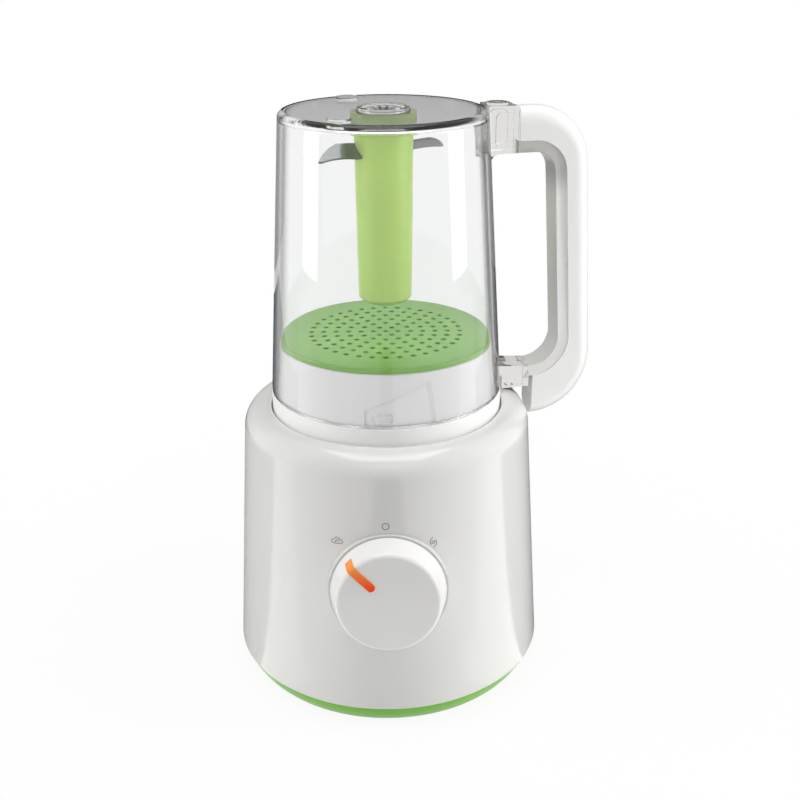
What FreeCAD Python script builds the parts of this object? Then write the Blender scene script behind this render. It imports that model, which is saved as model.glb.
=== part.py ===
import FreeCAD
import Part
import Sketcher
import math
import os
import re

Vector = FreeCAD.Vector
Rotation = FreeCAD.Rotation
Placement = FreeCAD.Placement

doc = FreeCAD.newDocument("BabyFoodMaker")
sheet = doc.addObject("Spreadsheet::Sheet", "Sizes")

# Driving sizes, millimetres and degrees
driving = [
    ("lid_wide", 60.0), ("lid_lip", 0.15), ("recess_gap", 0.8), ("rim_round", 1.2), ("rim_land", 1.3),
    ("shoulder_round", 12.0), ("shoulder_level", 137.6), ("recess_deep", 9.6), ("base_flare", 8.3), ("shell", 2.6),
    ("pan_step", 0.8), ("pan_taper", 5.8), ("pan_round", 22.0), ("pan_floor", 3.0), ("pan_wall", 2.4),
    ("pan_top", 12.0), ("spigot_tall", 5.0), ("spigot_gap", 0.3),
    ("foot_set", 16.0), ("foot_width", 7.0), ("foot_drop", 1.2), ("foot_bed", 1.4), ("foot_edge", 0.5),
    ("vent_near", 14.0), ("vent_far", 34.0), ("vent_half", 1.6), ("vent_round", 2.0),
    ("seal_wide", 3.8), ("seal_deep", 1.2), ("drive_hole", 6.0), ("running", 0.06), ("seat_gap", 0.3),
    ("screw_set", 7.5), ("screw_shank", 1.5), ("screw_head", 3.4), ("head_tall", 1.5), ("screw_long", 18.8),
    ("screw_boss", 4.2), ("pillar_tall", 40.6), ("rib_thick", 2.6),
    ("gland_level", 26.0), ("gland_bore", 3.0), ("gland_neck", 5.9), ("gland_flange", 8.0), ("gland_tail", 16.0),
    ("knob_level", 81.44), ("knob_stand", 3.06), ("knob_tilt", 6.0), ("knob_face", 25.3), ("knob_back", 28.5),
    ("knob_long", 13.0), ("knob_wall", 2.4), ("knob_edge", 2.4), ("boss_ledge", 1.0), ("boss_gap", 0.4),
    ("pointer_wide", 4.0), ("pointer_start", 10.0), ("pointer_turn", 135.0), ("pointer_high", 0.4),
    ("pointer_deep", 0.9), ("knob_spindle", 3.0), ("spindle_deep", 5.0), ("switch_wide", 13.0), ("switch_long", 16.0),
    ("motor_wide", 27.0), ("motor_tall", 56.0), ("motor_hang", 19.4), ("can_wall", 2.0), ("shaft", 3.0),
    ("bearing", 7.0), ("bearing_tall", 5.0), ("rotor", 16.5), ("air_gap", 0.5), ("winding", 10.0),
    ("fan_drop", 13.0), ("fan_gap", 4.6), ("vane_thick", 1.4),
    ("post_circle", 36.0), ("post", 4.6), ("post_screw", 2.0), ("post_head", 4.0), ("bush_wide", 6.0),
    ("bush_tall", 3.0), ("plate_thick", 2.2), ("plate_edge", 6.0), ("thread_long", 10.0),
    ("coupling_wide", 9.6), ("coupling_tall", 8.0),
    ("tank_wide", 20.0), ("tank_tall", 85.2), ("tank_rise", 8.2), ("tank_wall", 1.6), ("tank_gap", 1.5),
    ("heater_thick", 3.0), ("heater_coil", 4.0), ("neck", 13.5), ("neck_wall", 2.0), ("neck_edge", 4.5), ("neck_drop", 6.0),
    ("gasket_tall", 1.4), ("cap_wide", 16.0), ("cap_tall", 5.3), ("cap_clear", 1.6), ("cap_spigot", 12.0),
    ("cap_gap", 1.2), ("valve_stem", 1.6), ("valve_head", 3.4), ("spring_wire", 0.8),
    ("handle_turn", 12.0), ("lid_rise", 18.5), ("floor_rise", 12.0), ("jar_taper", 8.8), ("jar_wall", 2.6),
    ("jar_top", 300.0), ("jar_disc", 3.0), ("jar_round", 3.0), ("collar", 12.7), ("collar_tall", 1.0),
    ("collar_wall", 1.8), ("stand_set", 12.05), ("stand", 5.7), ("stand_tall", 1.0),
    ("bush", 6.0), ("bush_boss", 10.4), ("boss_drop", 9.0), ("pocket_deep", 5.8), ("tooth_tall", 3.3),
    ("stand_turn", 106.0), ("stand_apart", 121.0),
    ("skirt_gap", 0.75), ("skirt_tall", 25.9), ("lid_wall", 2.4), ("chimney", 7.0), ("chimney_tall", 18.0),
    ("groove_deep", 1.0), ("lug_rise", 1.7), ("lug_tall", 4.4), ("lug_wide", 9.0),
    ("hub_top_wide", 16.2), ("hub_wide", 14.5), ("hub_end_wide", 13.5), ("hub_clear", 22.6), ("hub_wall", 2.0),
    ("blade_drop", 19.0), ("blade_clear", 11.45), ("blade_thick", 1.2), ("blade_turn", 30.0), ("blade_root", 9.0),
    ("blade_tilt", 35.0),
    ("strainer_thick", 2.6), ("strainer_skirt", 4.0), ("hole_pitch", 6.4), ("hole", 1.45),
    ("grip_wide", 16.4), ("finger_gap", 33.27), ("grip_drop", 50.0), ("liner_thick", 5.8),
    ("cover_thick", 13.4), ("arm_deep", 23.0), ("arm_set", 0.8), ("bracket_reach", 15.6), ("bracket_round", 2.0),
    ("web_round", 5.0), ("panel_round", 3.0), ("panel_high", 0.8),
    ("arm_low_rise", 5.1), ("cover_drop", 15.6), ("cover_clear", 3.1),
    ("corner_top", 11.0), ("corner_low", 15.0), ("cover_corner", 30.0), ("cover_low_corner", 33.0),
    ("pin_set", 5.8), ("pin", 2.0), ("pin_rise", 3.0), ("pin_long", 25.0), ("pin_sleeve", 4.2),
]
for row, (alias, value) in enumerate(driving, start=1):
    sheet.set("A%d" % row, alias.replace("_", " "))
    sheet.set("B%d" % row, "%g" % value)
    sheet.setAlias("B%d" % row, alias)
doc.recompute()
aliases = {alias for alias, value in driving}

# Sizes that follow from the driving ones
derived = {
    "jar_mouth": "lid_wide - lid_lip",
    "jar_end": "jar_mouth - jar_taper",
    "recess": "lid_wide + recess_gap",
    "base_high": "recess + rim_round + rim_land + shoulder_round",
    "base_low": "base_high + base_flare",
    "rim": "shoulder_level + shoulder_round",
    "recess_floor": "rim - recess_deep",
    "wall_slope": "base_flare / (shoulder_level - pan_top)",
    "pan_wide": "base_low - pan_step",
    "pan_low": "pan_wide - pan_taper",
    "pan_inside": "foot_drop + pan_floor",
    "foot_outer": "pan_low - foot_set",
    "foot_inner": "foot_outer - foot_width",
    "spigot": "base_low - shell - spigot_gap - wall_slope * spigot_tall",
    "screw_circle": "pan_low - screw_set",
    "pillar_top": "pan_inside + pillar_tall",
    "gland_back": "base_low - (gland_level - pan_top) * wall_slope",
    "knob_reach": "base_low - (knob_level - pan_top) * wall_slope + knob_stand",
    "knob_boss": "knob_back + boss_ledge",
    "floor_under": "recess_floor - shell",
    "motor_high": "floor_under - motor_hang",
    "motor_low": "motor_high - motor_tall",
    "plate_top": "motor_high + plate_thick",
    "bush_top": "plate_top + bush_tall",
    "tank_high": "plate_top + tank_rise",
    "tank_low": "tank_high - tank_tall",
    "tank_back": "(motor_wide + base_low - shell - (tank_high - pan_top) * wall_slope) / 2",
    "filler_back": "lid_wide - lid_wall - cap_wide - cap_clear",
    "coupling_low": "recess_floor + 1.0",
    "cap_low": "recess_floor + cap_gap",
    "cap_top": "cap_low + cap_tall",
    "cap_core": "neck - neck_wall - seat_gap",
    "lid_bottom": "recess_floor + 0.5",
    "lid_floor": "recess_floor + floor_rise",
    "jar_mouth_level": "recess_floor + lid_rise",
    "lid_seat": "jar_mouth_level - seat_gap",
    "lug_level": "jar_mouth_level + lug_rise",
    "skirt_top": "jar_mouth_level + skirt_tall",
    "disc_under": "jar_top - jar_disc",
    "jar_slope": "jar_taper / (disc_under - jar_mouth_level)",
    "slant": "sqrt(1 + jar_slope * jar_slope)",
    "skirt_low": "jar_mouth - jar_wall - skirt_gap",
    "skirt_high": "skirt_low - jar_slope * skirt_tall",
    "pocket_level": "jar_top + collar_tall - pocket_deep",
    "pocket_under": "pocket_level - jar_disc * 0.6",
    "coupling_floor": "pocket_level + 1.8",
    "boss_end": "disc_under - boss_drop",
    "cup_floor": "boss_end - 2.1",
    "hub_top": "disc_under - 0.7",
    "hub_end": "skirt_top + hub_clear",
    "blade_level": "jar_top - blade_drop",
    "blade_reach": "jar_end - jar_wall - blade_clear",
    "arm_under": "jar_top - arm_deep",
    "arm_top": "jar_top - arm_set",
    "arm_start": "jar_end + bracket_reach",
    "arm_low_top": "jar_mouth_level + arm_low_rise",
    "grip_mid_level": "jar_top - grip_drop",
    "grip_gap_face": "jar_end + jar_slope * (disc_under - grip_mid_level) + finger_gap",
    "cover_low": "rim - cover_drop",
    "cover_end": "base_high + cover_clear",
    "pin_circle": "recess + pin_set",
    "pin_top": "recess_floor + pin_rise",
}
word = re.compile(r"[A-Za-z_]+")
maths = {"sqrt", "cos", "sin", "tan", "round", "pi", "min", "max", "abs"}


def formula(text):
    # sheet formula for a size written with the names above
    def swap(match):
        name = match.group(0)
        if name in aliases:
            return "Sizes." + name
        if name in derived:
            return "(" + formula(derived[name]) + ")"
        if name in maths:
            return name
        raise KeyError(name)
    return word.sub(swap, str(text))


def number(text):
    got = sheet.evalExpression(formula(text))
    return float(getattr(got, "Value", got))


def bind(thing, path, text):
    thing.setExpression(path, formula(text))


def place(thing, x="0", y="0", z="0", axis=None, turn=None):
    if axis is not None:
        thing.Placement = Placement(Vector(), Rotation(Vector(*axis), 10))
        bind(thing, "Placement.Rotation.Angle", turn)
    for letter, text in zip("xyz", (x, y, z)):
        bind(thing, "Placement.Base." + letter, text)
    return thing


def newBody(name):
    body = doc.addObject("PartDesign::Body", name)
    body.Label = name
    return body


def planeOf(body, role):
    for feature in body.Origin.OriginFeatures:
        if feature.Role == role:
            return feature
    raise KeyError(role)


def newSketch(body, name, role, level="0"):
    sketch = body.newObject("Sketcher::SketchObject", name)
    sketch.AttachmentSupport = [(planeOf(body, role), "")]
    sketch.MapMode = "FlatFace"
    if level != "0":
        bind(sketch, "AttachmentOffset.Base.z", level)
    return sketch


def hold(sketch, geo, pos, x, y):
    for kind, axis, text in (("DistanceX", -2, x), ("DistanceY", -1, y)):
        if str(text) == "0":
            sketch.addConstraint(Sketcher.Constraint("PointOnObject", geo, pos, axis))
        else:
            value = number(text)
            n = sketch.addConstraint(Sketcher.Constraint(kind, -1, 1, geo, pos, value))
            bind(sketch, "Constraints[%d]" % n, text)


def arcBetween(a, b, radius, left):
    half = (b - a) * 0.5
    reach = math.sqrt(max(radius * radius - half.Length * half.Length, 0))
    side = Vector(-half.y, half.x, 0).normalize()
    centre = a + half + side * (reach if left else -reach)
    first, last = (a, b) if left else (b, a)
    begin = math.atan2(first.y - centre.y, first.x - centre.x)
    end = math.atan2(last.y - centre.y, last.x - centre.x)
    circle = Part.Circle(centre, Vector(0, 0, 1), radius)
    return Part.ArcOfCircle(circle, begin, end)


def outline(body, name, role, points, level="0"):
    # closed outline; a third entry rounds the stretch that leaves the point, minus for a right-hand bend
    sketch = newSketch(body, name, role, level)
    spots = [Vector(number(p[0]), number(p[1]), 0) for p in points]
    ends = []
    for i, point in enumerate(points):
        a = spots[i]
        b = spots[(i + 1) % len(spots)]
        if len(point) < 3:
            geo = sketch.addGeometry(Part.LineSegment(a, b), False)
            ends.append((geo, 1, 2))
        else:
            left = not point[2].startswith("-")
            radius = point[2].lstrip("-")
            geo = sketch.addGeometry(arcBetween(a, b, number(radius), left), False)
            ends.append((geo, 1, 2) if left else (geo, 2, 1))
    for i, (geo, first, last) in enumerate(ends):
        after = ends[(i + 1) % len(ends)]
        sketch.addConstraint(Sketcher.Constraint("Coincident", geo, last, after[0], after[1]))
    for i, point in enumerate(points):
        hold(sketch, ends[i][0], ends[i][1], point[0], point[1])
        if len(point) == 3:
            radius = point[2].lstrip("-")
            n = sketch.addConstraint(Sketcher.Constraint("Radius", ends[i][0], number(radius)))
            bind(sketch, "Constraints[%d]" % n, radius)
    return sketch


def ringSketch(body, name, role, circles, level="0"):
    sketch = newSketch(body, name, role, level)
    for x, y, radius in circles:
        centre = Vector(number(x), number(y), 0)
        circle = Part.Circle(centre, Vector(0, 0, 1), number(radius))
        geo = sketch.addGeometry(circle, False)
        hold(sketch, geo, 3, x, y)
        n = sketch.addConstraint(Sketcher.Constraint("Radius", geo, number(radius)))
        bind(sketch, "Constraints[%d]" % n, radius)
    return sketch


def turned(name, points, body=None):
    body = body or newBody(name)
    sketch = outline(body, name + "_outline", "XZ_Plane", points)
    feature = body.newObject("PartDesign::Revolution", name + "_turned")
    feature.Profile = sketch
    feature.ReferenceAxis = (sketch, ["V_Axis"])
    feature.Angle = 360
    doc.recompute()
    return body


def padded(body, name, sketch, length, both=False):
    feature = body.newObject("PartDesign::Pad", name)
    feature.Profile = sketch
    bind(feature, "Length", length)
    if both:
        feature.SideType = "Symmetric"
    doc.recompute()
    return feature


def pocketed(body, name, sketch, length):
    # cuts half the length to each side of the sketch
    before = body.Shape.Volume
    feature = body.newObject("PartDesign::Pocket", name)
    feature.Profile = sketch
    bind(feature, "Length", length)
    feature.SideType = "Symmetric"
    doc.recompute()
    if body.Shape.Volume > before - 1e-6:
        raise RuntimeError(name + " cuts nothing")
    return feature


def around(body, feature, count):
    pattern = body.newObject("PartDesign::PolarPattern", feature.Name + "_ring")
    pattern.Originals = [feature]
    pattern.Axis = (planeOf(body, "Z_Axis"), [""])
    pattern.Angle = 360
    bind(pattern, "Occurrences", count)
    body.Tip = pattern
    doc.recompute()
    return pattern


def rounded(body, radius, pick, name):
    base = body.Tip
    chosen = []
    for i, edge in enumerate(base.Shape.Edges, start=1):
        if pick(edge):
            chosen.append("Edge%d" % i)
    feature = body.newObject("PartDesign::Fillet", name)
    feature.Base = (base, chosen)
    bind(feature, "Radius", radius)
    doc.recompute()
    return feature


def column(name, radius, low, high, x="0", y="0"):
    thing = doc.addObject("Part::Cylinder", name)
    bind(thing, "Radius", radius)
    bind(thing, "Height", "(%s) - (%s)" % (high, low))
    return place(thing, x, y, low)


def block(name, near, far, wide, low, high, turn="0"):
    # box that reaches out along a direction turned about the upright axis
    thing = doc.addObject("Part::Box", name)
    bind(thing, "Length", "(%s) - (%s)" % (far, near))
    bind(thing, "Width", wide)
    bind(thing, "Height", "(%s) - (%s)" % (high, low))
    x = "(%s) * cos(%s) + (%s) / 2 * sin(%s)" % (near, turn, wide, turn)
    y = "(%s) * sin(%s) - (%s) / 2 * cos(%s)" % (near, turn, wide, turn)
    return place(thing, x, y, low, (0, 0, 1), turn)


def fused(name, things):
    thing = doc.addObject("Part::MultiFuse", name)
    thing.Label = name
    thing.Shapes = things
    return thing


def trimmed(name, base, tool):
    thing = doc.addObject("Part::Cut", name)
    thing.Label = name
    thing.Base = base
    thing.Tool = tool
    return thing


def grouped(name, things):
    thing = doc.addObject("Part::Compound", name)
    thing.Label = name
    thing.Links = things
    return thing


def polar(radius, turn):
    return "(%s) * cos(%s)" % (radius, turn), "(%s) * sin(%s)" % (radius, turn)


pieces = []


def finish(thing):
    pieces.append(thing)
    return thing


# Base shell: tapered wall, rounded shoulder, round recess with a seal groove in its floor
shellCore = turned("base_shell", [
    ("base_low", "pan_top"),
    ("base_high", "shoulder_level", "shoulder_round"),
    ("base_high - shoulder_round", "rim"),
    ("recess + rim_round", "rim", "rim_round"),
    ("recess", "rim - rim_round"),
    ("recess", "recess_floor - seal_deep"),
    ("recess - seal_wide", "recess_floor - seal_deep"),
    ("recess - seal_wide", "recess_floor"),
    ("drive_hole", "recess_floor"),
    ("drive_hole", "floor_under"),
    ("recess + shell", "floor_under"),
    ("recess + shell", "rim - shell", "-(shoulder_round - shell)"),
    ("base_high - shell", "shoulder_level"),
    ("base_low - shell", "pan_top"),
])
knobFrame = ("0", "-knob_reach", "knob_level", (1, 0, 0), "90 - knob_tilt")


def onKnobAxis(name, radius, low, high):
    thing = doc.addObject("Part::Cylinder", name)
    bind(thing, "Radius", radius)
    bind(thing, "Height", "(%s) - (%s)" % (high, low))
    x, y, z, axis, turn = knobFrame
    y = "%s - (%s) * cos(knob_tilt)" % (y, low)
    z = "%s + (%s) * sin(knob_tilt)" % (z, low)
    return place(thing, x, y, z, axis, turn)


shellAdds = [shellCore, onKnobAxis("knob_boss_outer", "knob_boss", "-knob_stand - 4 * shell", "-boss_gap")]
shellCuts = [
    onKnobAxis("knob_boss_inner", "knob_boss - shell", "-knob_stand - 12 * shell", "-boss_gap - shell"),
    onKnobAxis("knob_spindle_hole", "knob_spindle + 4 * seat_gap", "-3 * shell", "shell"),
    column("filler_hole", "neck + seat_gap", "floor_under - 2", "recess_floor + 2", "0", "filler_back"),
]
screwTurns = [45, 135, 225, 315]
screwRows = []
panCuts = []
for k, turn in enumerate(screwTurns, start=1):
    x, y = polar("screw_circle", turn)
    shellAdds.append(column("screw_pillar_%d" % k, "screw_boss", "pan_inside + 0.2", "pillar_top", x, y))
    shellAdds.append(block("screw_rib_%d" % k, "screw_circle + 2", "base_low - 2.4", "rib_thick",
                           "pan_top + spigot_tall + 1", "pillar_top", turn))
    shellCuts.append(column("screw_bore_%d" % k, "screw_shank", "0", "foot_drop + screw_long + 2", x, y))
    head = column("screw_head_%d" % k, "screw_head", "foot_drop + 0.1", "foot_drop + 0.1 + head_tall", x, y)
    shank = column("screw_shank_%d" % k, "screw_shank", "foot_drop + head_tall", "foot_drop + screw_long", x, y)
    screwRows.append(fused("screw_%d" % k, [head, shank]))
    panCuts.append(column("screw_sink_%d" % k, "screw_head + seat_gap", "0", "foot_drop + 0.1 + head_tall", x, y))
    panCuts.append(column("screw_pass_%d" % k, "screw_shank + 0.2", "0", "pan_inside + 1", x, y))
postTurns = [30, 150, 270]
bushRows = []
motorScrewRows = []
plateCuts = [
    column("plate_eye", "bearing + 1", "motor_high - 1", "plate_top + 1"),
    column("plate_bite", "tank_wide + tank_gap", "motor_high - 1", "plate_top + 1", "0", "tank_back"),
]
for k, turn in enumerate(postTurns, start=1):
    x, y = polar("post_circle", turn)
    shellAdds.append(column("motor_post_%d" % k, "post", "bush_top", "floor_under + 0.5", x, y))
    shellCuts.append(column("motor_post_bore_%d" % k, "post_screw", "plate_top", "bush_top + thread_long + 0.5", x, y))
    ring = column("bush_ring_%d" % k, "bush_wide", "plate_top", "bush_top", x, y)
    eye = column("bush_eye_%d" % k, "post_screw + 0.2", "plate_top - 1", "bush_top + 1", x, y)
    bushRows.append(trimmed("bush_%d" % k, ring, eye))
    head = column("motor_screw_head_%d" % k, "post_head", "motor_high - post_head * 0.6", "motor_high", x, y)
    shank = column("motor_screw_shank_%d" % k, "post_screw", "motor_high - 1", "bush_top + thread_long", x, y)
    motorScrewRows.append(fused("motor_screw_%d" % k, [head, shank]))
    plateCuts.append(column("plate_hole_%d" % k, "post_screw + 0.2", "motor_high - 1", "plate_top + 1", x, y))
pinX, pinY = polar("pin_circle", "handle_turn")
shellAdds.append(column("pin_guide", "pin_sleeve", "pin_top - pin_long * 0.7", "rim - 2", pinX, pinY))
shellAdds.append(block("switch_ledge", "pin_circle + 4.6", "base_high + 0.6", "switch_wide * 0.77",
                       "pin_top - pin_long - 22", "pin_top - pin_long - 3", "handle_turn"))
shellCuts.append(column("pin_bore", "pin + running", "recess_floor - 16", "rim + 2", pinX, pinY))
shellCuts.append(block("rib_slot", "pin_circle - 2.6", "pin_circle + 3", "7.2",
                       "pin_top + 0.2", "rim + 2", "handle_turn"))
glandHole = doc.addObject("Part::Cylinder", "gland_hole")
bind(glandHole, "Radius", "gland_neck + 0.1")
bind(glandHole, "Height", "shell * 5")
place(glandHole, "0", "gland_back - shell * 3", "gland_level", (1, 0, 0), "-90")
shellCuts.append(glandHole)
housing = trimmed("base_housing", fused("housing_sum", shellAdds), fused("housing_cuts", shellCuts))
finish(housing)

# Green pan that closes the base from below, with a spigot inside the wall and a bed for the foot
panCore = turned("pan_core", [
    ("0", "foot_drop"),
    ("foot_inner - 0.1", "foot_drop"),
    ("foot_inner - 0.1", "foot_drop + foot_bed"),
    ("foot_outer + 0.1", "foot_drop + foot_bed"),
    ("foot_outer + 0.1", "foot_drop"),
    ("pan_low", "foot_drop", "pan_round"),
    ("pan_wide", "pan_top"),
    ("spigot", "pan_top"),
    ("spigot", "pan_top + spigot_tall"),
    ("spigot - pan_wall", "pan_top + spigot_tall"),
    ("pan_low - pan_wall", "pan_inside"),
    ("0", "pan_inside"),
])
ventSketch = outline(panCore, "vent_outline", "XY_Plane", [
    ("vent_near", "-vent_half"), ("vent_far", "-vent_half", "vent_round"),
    ("vent_far", "vent_half"), ("vent_near", "vent_half", "vent_round"),
], "foot_drop + pan_floor / 2")
vent = pocketed(panCore, "vent", ventSketch, "pan_floor * 2")
around(panCore, vent, "12")
finish(trimmed("base_pan", panCore, fused("pan_cuts", panCuts)))
finish(turned("foot_ring", [
    ("foot_inner", "foot_edge"),
    ("foot_inner + foot_edge", "0"),
    ("foot_outer - foot_edge", "0"),
    ("foot_outer", "foot_edge"),
    ("foot_outer", "foot_drop + foot_bed"),
    ("foot_inner", "foot_drop + foot_bed"),
]))
finish(grouped("housing_screws", screwRows))
gland = turned("cord_gland", [
    ("gland_bore", "-2.3 * shell"),
    ("gland_flange", "-2.3 * shell"),
    ("gland_flange", "-1.5 * shell"),
    ("gland_neck", "-1.5 * shell"),
    ("gland_neck", "0.3 * shell"),
    ("gland_flange + 0.4", "0.3 * shell"),
    ("gland_flange + 0.4", "1.2 * shell"),
    ("gland_neck + 0.1", "1.5 * shell"),
    ("gland_bore + 1.6", "gland_tail"),
    ("gland_bore", "gland_tail"),
])
slotSketch = outline(gland, "gland_slots", "XZ_Plane", [
    ("gland_bore + 1", "gland_tail * 0.4"),
    ("gland_flange + 1", "gland_tail * 0.4"),
    ("gland_flange + 1", "gland_tail * 0.48"),
    ("gland_bore + 1", "gland_tail * 0.48"),
])
pocketed(gland, "gland_slot", slotSketch, "gland_flange")
place(gland, "0", "gland_back", "gland_level", (1, 0, 0), "-90")
finish(gland)
finish(turned("recess_seal", [
    ("recess - seal_wide + 0.2", "recess_floor - seal_deep"),
    ("recess - 0.2", "recess_floor - seal_deep"),
    ("recess - 0.2", "recess_floor + 0.1"),
    ("recess - 1.0", "recess_floor + 0.2"),
    ("recess - seal_wide + 1.0", "recess_floor + 0.2"),
    ("recess - seal_wide + 0.2", "recess_floor + 0.1"),
]))
finish(turned("drive_seal", [
    ("shaft + 0.1", "floor_under"),
    ("drive_hole", "floor_under"),
    ("drive_hole", "recess_floor"),
    ("drive_hole - 1", "recess_floor + 0.5"),
    ("shaft + 0.1", "recess_floor + 0.5"),
]))

# Motor hung below the recess floor on three cushioned posts
plateDisc = column("plate_disc", "post_circle + plate_edge", "motor_high", "plate_top")
finish(trimmed("motor_bracket", plateDisc, fused("plate_cuts", plateCuts)))
finish(grouped("motor_bushes", bushRows))
finish(grouped("motor_screws", motorScrewRows))
finish(turned("motor_can", [
    ("bearing", "motor_low"),
    ("motor_wide - can_wall", "motor_low"),
    ("motor_wide", "motor_low + can_wall"),
    ("motor_wide", "motor_high"),
    ("bearing", "motor_high"),
    ("bearing", "motor_high - bearing_tall"),
    ("bearing + can_wall", "motor_high - bearing_tall"),
    ("bearing + can_wall", "motor_high - can_wall"),
    ("motor_wide - can_wall", "motor_high - can_wall"),
    ("motor_wide - can_wall", "motor_low + can_wall"),
    ("bearing + can_wall", "motor_low + can_wall"),
    ("bearing + can_wall", "motor_low + bearing_tall"),
    ("bearing", "motor_low + bearing_tall"),
]))
finish(turned("motor_stator", [
    ("rotor + air_gap", "motor_low + winding"),
    ("motor_wide - can_wall", "motor_low + winding"),
    ("motor_wide - can_wall", "motor_high - winding"),
    ("rotor + air_gap", "motor_high - winding"),
]))
for name, low, high in (("upper_bearing", "motor_high - bearing_tall", "motor_high - 0.2"),
                        ("lower_bearing", "motor_low + 0.2", "motor_low + bearing_tall")):
    finish(turned(name, [
        ("shaft + running", low), ("bearing", low), ("bearing", high), ("shaft + running", high),
    ]))
finish(turned("motor_shaft", [
    ("0", "motor_low - fan_drop - 2"),
    ("shaft", "motor_low - fan_drop - 2"),
    ("shaft", "coupling_low + coupling_tall * 0.75"),
    ("0", "coupling_low + coupling_tall * 0.75"),
]))
finish(turned("motor_rotor", [
    ("shaft", "motor_low + winding * 0.8"),
    ("rotor * 0.55", "motor_low + winding * 0.8"),
    ("rotor * 0.55", "motor_low + winding * 1.2"),
    ("rotor", "motor_low + winding * 1.2"),
    ("rotor", "motor_high - winding * 1.2"),
    ("rotor * 0.73", "motor_high - winding * 1.2"),
    ("rotor * 0.73", "motor_high - winding * 0.8"),
    ("shaft", "motor_high - winding * 0.8"),
]))
fan = turned("cooling_fan", [
    ("shaft", "motor_low - fan_drop"),
    ("shaft * 2", "motor_low - fan_drop"),
    ("shaft * 2", "motor_low - fan_gap - vane_thick"),
    ("motor_wide - 4", "motor_low - fan_gap - vane_thick"),
    ("motor_wide - 4", "motor_low - fan_gap"),
    ("shaft", "motor_low - fan_gap"),
])
vaneSketch = outline(fan, "vane_outline", "XY_Plane", [
    ("shaft * 2 - 1", "-vane_thick / 2"),
    ("motor_wide - 5", "vane_thick * 1.7"),
    ("motor_wide - 5", "vane_thick * 2.7"),
    ("shaft * 2 - 1", "vane_thick / 2"),
], "motor_low - fan_drop")
vane = padded(fan, "vane", vaneSketch, "fan_drop - fan_gap - vane_thick / 2")
around(fan, vane, "9")
finish(fan)
coupling = turned("drive_coupling", [
    ("shaft", "coupling_low"),
    ("coupling_wide - 1.6", "coupling_low"),
    ("coupling_wide", "coupling_low + 1.6"),
    ("coupling_wide", "coupling_low + coupling_tall * 0.56"),
    ("shaft + 2", "coupling_low + coupling_tall * 0.69"),
    ("shaft + 2", "coupling_low + coupling_tall"),
    ("0", "coupling_low + coupling_tall"),
    ("0", "coupling_low + coupling_tall * 0.75"),
    ("shaft", "coupling_low + coupling_tall * 0.75"),
])
dogSketch = outline(coupling, "dog_outline", "XY_Plane", [
    ("shaft + 1", "-coupling_wide / 6"),
    ("coupling_wide - 0.4", "-coupling_wide / 6"),
    ("coupling_wide - 0.4", "coupling_wide / 6"),
    ("shaft + 1", "coupling_wide / 6"),
], "coupling_low + coupling_tall / 2")
dog = padded(coupling, "dog", dogSketch, "coupling_tall * 0.55")
around(coupling, dog, "6")
finish(coupling)

# Boiler behind the motor, its neck open to the recess floor and closed by a screw cap
tankSum = fused("tank_sum", [
    column("tank_outer", "tank_wide", "tank_low", "tank_high", "0", "tank_back"),
    column("neck_outer", "neck", "tank_high - neck_drop", "recess_floor", "0", "filler_back"),
    column("neck_flange", "neck + neck_edge", "floor_under - gasket_tall - 3", "floor_under - gasket_tall", "0", "filler_back"),
])
tankHollow = fused("tank_hollow", [
    column("tank_inner", "tank_wide - tank_wall", "tank_low + tank_wall", "tank_high - tank_wall", "0", "tank_back"),
    column("neck_inner", "neck - neck_wall", "tank_high - neck_drop / 2", "recess_floor + 1", "0", "filler_back"),
])
finish(trimmed("boiler_tank", tankSum, tankHollow))
gasket = turned("filler_gasket", [
    ("neck + 0.2", "floor_under - gasket_tall"),
    ("neck + neck_edge - 0.3", "floor_under - gasket_tall"),
    ("neck + neck_edge - 0.3", "floor_under"),
    ("neck + 0.2", "floor_under"),
])
finish(place(gasket, "0", "filler_back"))
heater = turned("heater_plate", [
    ("0", "tank_low - heater_thick"),
    ("tank_wide * 0.6", "tank_low - heater_thick"),
    ("tank_wide * 0.6", "tank_low - heater_thick - heater_coil", "tank_wide * 0.16"),
    ("tank_wide * 0.9", "tank_low - heater_thick - heater_coil"),
    ("tank_wide * 0.9", "tank_low - heater_thick"),
    ("tank_wide", "tank_low - heater_thick"),
    ("tank_wide", "tank_low"),
    ("0", "tank_low"),
])
finish(place(heater, "0", "tank_back"))
finish(column("thermostat", "tank_wide * 0.4", "tank_low - 3.3 * heater_thick", "tank_low - heater_thick",
              "0", "tank_back"))
doc.getObject("thermostat").Label = "thermostat"
cap = turned("tank_cap", [
    ("valve_stem + running", "cap_top"),
    ("cap_wide - 0.8", "cap_top", "-0.8"),
    ("cap_wide", "cap_top - 0.8"),
    ("cap_wide", "cap_low"),
    ("cap_core", "cap_low"),
    ("cap_core", "cap_low - cap_spigot"),
    ("cap_core - 2", "cap_low - cap_spigot"),
    ("cap_core - 2", "cap_top - 2.5"),
    ("valve_stem + running", "cap_top - 2.5"),
])
steamSketch = ringSketch(cap, "steam_holes", "XY_Plane", [("6.2", "0", "1.5")], "cap_top - 1.2")
around(cap, pocketed(cap, "steam_hole", steamSketch, "4"), "5")
notchSketch = ringSketch(cap, "grip_notches", "XY_Plane", [("cap_wide + 0.8", "0", "1.8")], "cap_low + cap_tall / 2")
around(cap, pocketed(cap, "grip_notch", notchSketch, "cap_tall * 2"), "12")
finish(place(cap, "0", "filler_back"))
capSeal = turned("cap_gasket", [
    ("neck - neck_wall + 0.1", "recess_floor + 0.2"),
    ("cap_wide - 1.6", "recess_floor + 0.2"),
    ("cap_wide - 1.6", "cap_low"),
    ("neck - neck_wall + 0.1", "cap_low"),
])
finish(place(capSeal, "0", "filler_back"))
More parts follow.
